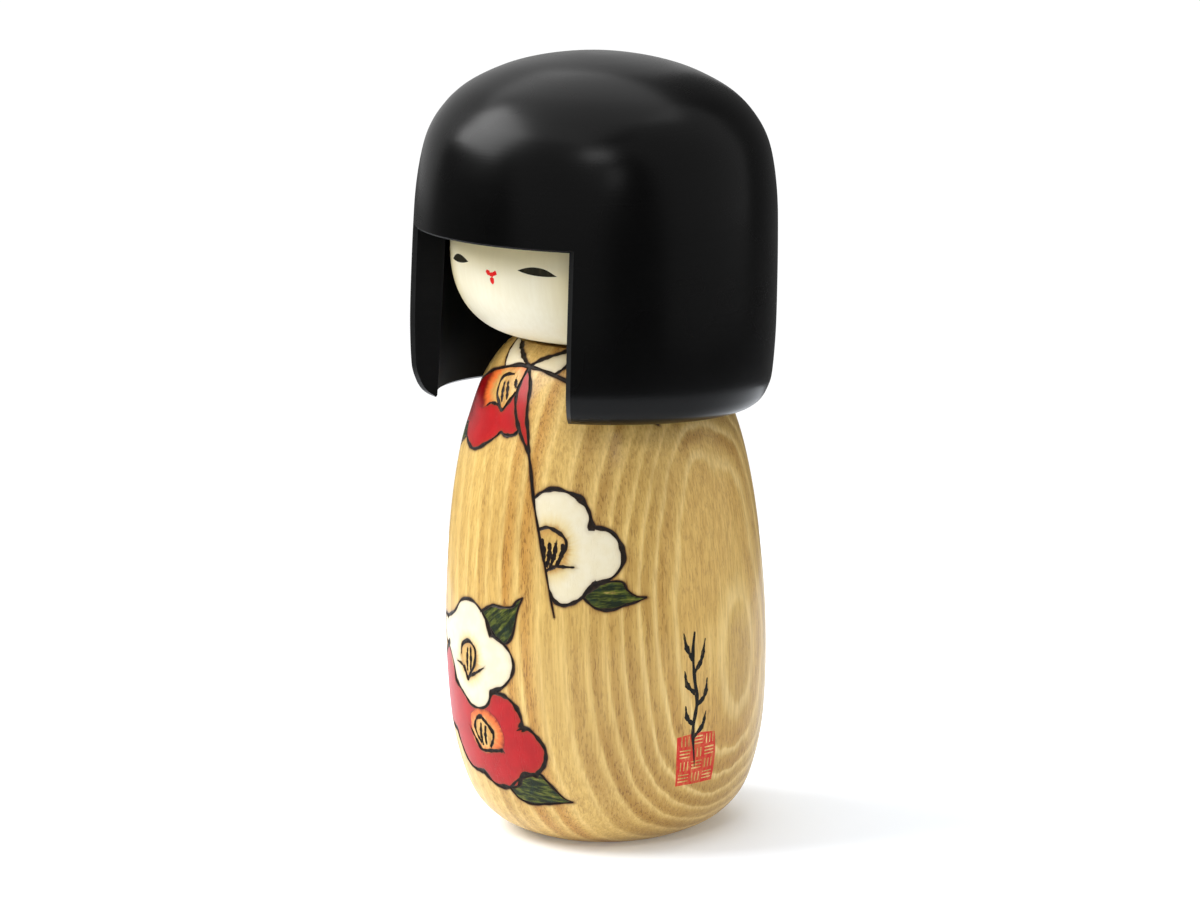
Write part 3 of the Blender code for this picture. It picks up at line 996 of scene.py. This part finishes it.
def dowel_material():
    shader = Shader("birch_dowel", 0.6)
    grain = shader.noise((1.2, 1.2, 0.04), 3.0, 0.6)
    shader.bump(grain, 0.06)
    return shader.colour(shader.mix(shader.between(grain, 0.3, 0.7), srgb(198, 164, 112),
                                    srgb(226, 199, 152)))


def floor_material():
    shader = Shader("studio_floor", 0.85, 0.2)
    speck = shader.noise((0.05, 0.05, 0.05), 2.0)
    shader.surface.inputs["Emission Color"].default_value = (1, 1, 1, 1)
    shader.surface.inputs["Emission Strength"].default_value = 0.12
    return shader.colour(shader.mix(speck, (0.87, 0.91, 0.96, 1), (0.89, 0.93, 0.98, 1)))


# ---------------------------------------------------------------- building the doll

def straight_top(turning):
    return lambda across: np.full(np.shape(across), turning.length)


def tilted_top(turning, point, normal):
    """The sheet's top edge where a plane cuts the turned surface."""
    angles = np.linspace(-math.pi, math.pi, 145)
    ends = []
    for angle in angles:
        column = np.stack([np.full(len(turning.along), angle * SHEET_RADIUS), turning.along],
                          axis=1)
        above = (turning.wrap(column) - point) @ normal
        ends.append(np.interp(0, above, turning.along))
    return lambda across: np.interp(across, angles * SHEET_RADIUS, ends)


def make_body(materials):
    upright = Matrix()
    to_neck = neck_frame()
    profile = outside_profile(list(set(local_points("body", upright))))
    profile = sorted((p for p in profile if p[0] > 16), key=lambda p: p[1])
    turning = Turning(profile, upright)
    seat = max(z for _, z in local_points("body", to_neck)) - 0.0
    to_world = to_neck.inverted()
    point = np.array(to_world @ Vector((0, 0, seat * MM)))
    top = tilted_top(turning, point, np.array(NECK["axis"]))
    bore = min(radius for radius, _ in local_points("body", to_neck) if radius > 1)
    bottom = min(z for radius, z in local_points("body", to_neck) if abs(radius - bore) < 0.05)
    seat_rows = [turning.wrap(rim_points(top)).tolist()]
    seat_rows += [turned_ring(bore, height, to_world) for height in (seat, bottom)]
    seat_rows.append(turned_ring(0, bottom, to_world))
    foot_rows = [turned_ring(radius, 0, upright) for radius in (profile[0][0], 10, 0)]
    piece = painted_piece("painted_body", turning, body_drawing(), materials, top,
                          [foot_rows, seat_rows])
    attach(piece, "trunk")
    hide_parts("body")


def make_head(materials):
    to_neck = neck_frame()
    to_world = to_neck.inverted()
    points = local_points("head", to_neck)
    profile = outside_profile(turned_rings("head", to_neck))
    bore = min(radius for radius, _ in points if radius > 1)
    profile = sorted((p for p in profile if p[0] > bore + 3), key=lambda p: p[1])
    turning = Turning(profile, to_world)
    low, high = profile[0], profile[-1]
    under = [turned_ring(radius, low[1], to_world) for radius in (low[0], bore)]
    over = [turned_ring(radius, high[1], to_world) for radius in (high[0], bore)]
    hole = [turned_ring(bore, height, to_world) for height in (low[1], high[1])]
    piece = painted_piece("painted_head", turning, head_drawing(turning), materials,
                          straight_top(turning), [under, over, hole])
    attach(piece, "turning_head")
    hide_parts("head")


def dress_hair():
    materials = [lacquer_material("black_hair", 0.0007, 0.27, 0.14),
                 lacquer_material("black_hair_inside", 0.0015, 0.5, 0.1),
                 # The chamfers' copy of the lacquer has a lighter base: a painted sheen for the light
                 # their edges catch.
                 lacquer_material("black_hair_edge_painted_sheen", 0.005, 0.42, 0.22)]
    piece = make_hair(materials)
    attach(piece, "turning_head")
    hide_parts("hair_cap")


def dress_dowel():
    dowel = frame["nodes"]["neck_dowel"]
    for slot in dowel.material_slots:
        slot.material = dowel_material()


# ---------------------------------------------------------------- studio

def camera_axes():
    azimuth, elevation = math.radians(CAMERA_AZIMUTH), math.radians(CAMERA_ELEVATION)
    back = Vector((math.sin(azimuth) * math.cos(elevation),
                   -math.cos(azimuth) * math.cos(elevation), math.sin(elevation)))
    right = Vector((math.cos(azimuth), math.sin(azimuth), 0))
    return right, back.cross(right), back


def make_camera():
    right, up, back = camera_axes()
    roll = math.radians(CAMERA_ROLL)
    rolled_right = right * math.cos(roll) + up * math.sin(roll)
    rolled_up = up * math.cos(roll) - right * math.sin(roll)
    data = bpy.data.cameras.new("camera")
    data.lens = CAMERA_LENS
    data.sensor_width = 36
    data.clip_start = 0.05
    camera = bpy.data.objects.new("camera", data)
    aim = right * CAMERA_AIM[0] + Vector((0, 0, CAMERA_AIM[1]))
    world = Matrix((rolled_right, rolled_up, back)).transposed().to_4x4()
    world.translation = aim + back * CAMERA_DISTANCE
    camera.matrix_world = world
    bpy.context.scene.collection.objects.link(camera)
    bpy.context.scene.camera = camera


def softbox(name, sideways, towards, height, size, watts, aim=(0, 0, 0.1)):
    """A square lamp, placed by how far it is to the camera's right and towards the camera."""
    right, _, back = camera_axes()
    forward = Vector((back.x, back.y, 0)).normalized()
    data = bpy.data.lights.new(name, "AREA")
    data.shape = "RECTANGLE"
    data.size, data.size_y = size
    data.energy = watts
    lamp = bpy.data.objects.new(name, data)
    place = right * sideways + forward * towards + Vector((0, 0, height))
    lamp.location = place
    lamp.rotation_euler = (place - Vector(aim)).to_track_quat("Z", "Y").to_euler()
    bpy.context.scene.collection.objects.link(lamp)


def make_world():
    """White behind the doll, and a dimmer even light round it."""
    world = bpy.data.worlds.new("studio")
    world.use_nodes = True
    tree = world.node_tree
    path = tree.nodes.new("ShaderNodeLightPath")
    plain = tree.nodes["Background"]
    plain.inputs["Color"].default_value = (1, 1, 1, 1)
    plain.inputs["Strength"].default_value = 0.12
    white = tree.nodes.new("ShaderNodeBackground")
    white.inputs["Strength"].default_value = 1.05
    white.inputs["Color"].default_value = (1, 1, 1, 1)
    choose = tree.nodes.new("ShaderNodeMixShader")
    tree.links.new(path.outputs["Is Camera Ray"], choose.inputs[0])
    tree.links.new(plain.outputs[0], choose.inputs[1])
    tree.links.new(white.outputs[0], choose.inputs[2])
    tree.links.new(choose.outputs[0], tree.nodes["World Output"].inputs["Surface"])
    bpy.context.scene.world = world


def make_floor():
    builder = bmesh.new()
    rows = [[Vector((radius * math.sin(a), radius * math.cos(a), 0)) for a in ring_angles(96)]
            for radius in (0.3, 0.2, 0.1, 0)]
    add_grid(builder, rows)
    mesh = bpy.data.meshes.new("floor")
    floor = finish_mesh("floor", mesh, builder, [floor_material()])


def make_studio():
    bpy.context.scene.view_settings.view_transform = "Standard"
    make_camera()
    make_world()
    make_floor()
    softbox("side", -1.0, -0.1, 0.95, (0.95, 0.8), 21)
    softbox("rim", -0.45, -1.05, 0.55, (1.6, 1.2), 3.2)
    softbox("top", -0.2, -0.2, 1.4, (2.0, 2.0), 20)
    softbox("front_left", -0.5, 1.15, 0.75, (1.8, 1.8), 5.5)
    softbox("front", 0.02, 1.05, 0.97, (0.35, 0.3), 2.4)
    softbox("glint", 0.25, 1.17, 0.55, (0.2, 0.2), 0.4)
    softbox("right", 1.1, 0.25, 0.7, (2.0, 2.0), 8)


make_studio()
make_body([wood_material(),
           petal_material("white_petal", srgb(232, 222, 194), srgb(225, 211, 172),
                          srgb(224, 204, 152), srgb(196, 152, 84), 0.9, 0.42),
           petal_material("red_petal", srgb(176, 14, 20), srgb(152, 9, 15),
                          srgb(120, 4, 8), srgb(228, 112, 48), 0.9, 0.38),
           leaf_material(), burnt_material(), stamp_material(), ink_material()])
make_head([ivory_material(), face_paint("eye_paint", srgb(34, 31, 18), srgb(52, 47, 28)),
           face_paint("lip_paint", srgb(222, 20, 20), srgb(230, 44, 36))])
dress_hair()
dress_dowel()
